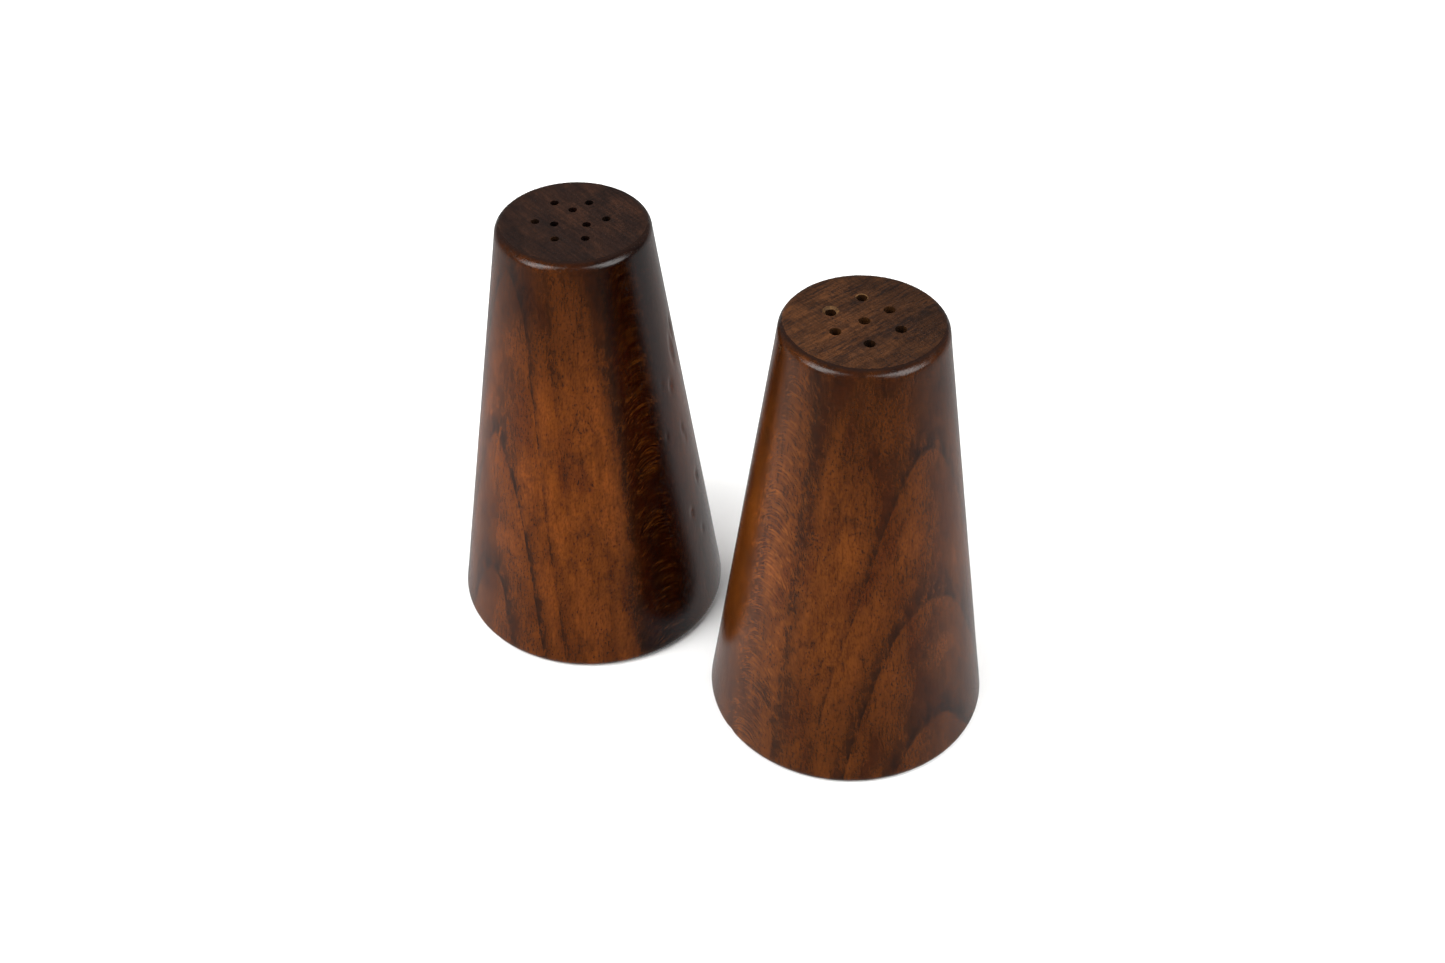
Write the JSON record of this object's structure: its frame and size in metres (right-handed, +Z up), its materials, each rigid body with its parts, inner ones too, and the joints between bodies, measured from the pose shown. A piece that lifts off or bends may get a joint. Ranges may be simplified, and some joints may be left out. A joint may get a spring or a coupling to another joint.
{
  "type": "salt and pepper shaker pair",
  "caption": "Pair of turned wooden cone-shaped shakers, one for salt and one for pepper, hollow, with pouring holes in the top and a cork stopper in each foot.",
  "frame": {"origin": "on the surface the shakers stand on, midway between the two, under the line that joins their axes", "axes": "+Z up, +X from the salt shaker towards the pepper shaker, +Y square to both"},
  "size_m": [0.1198, 0.0564, 0.095],
  "materials": {
    "salt_wood": "dark walnut stain, glossy lacquer on the sides, worn satin end grain on top",
    "pepper_wood": "dark walnut stain, glossy lacquer on the sides, worn satin end grain on top",
    "cork": "natural cork, matt"
  },
  "bodies": {
    "salt_shaker": {"salt_body": "salt_wood"},
    "salt_cork": {"salt_stopper": "cork"},
    "pepper_shaker": {"pepper_body": "pepper_wood"},
    "pepper_cork": {"pepper_stopper": "cork"}
  },
  "joints": [
    {"name": "salt_stopper_pull", "type": "slide", "parent": "salt_shaker", "child": "salt_cork", "axis": [0, 0, -1], "range_m": [0, 0.02]},
    {"name": "pepper_lift", "type": "slide", "parent": "salt_shaker", "child": "pepper_shaker", "axis": [0, 0, 1], "range_m": [0, 0.12]},
    {"name": "pepper_stopper_pull", "type": "slide", "parent": "pepper_shaker", "child": "pepper_cork", "axis": [0, 0, -1], "range_m": [0, 0.02]}
  ]
}
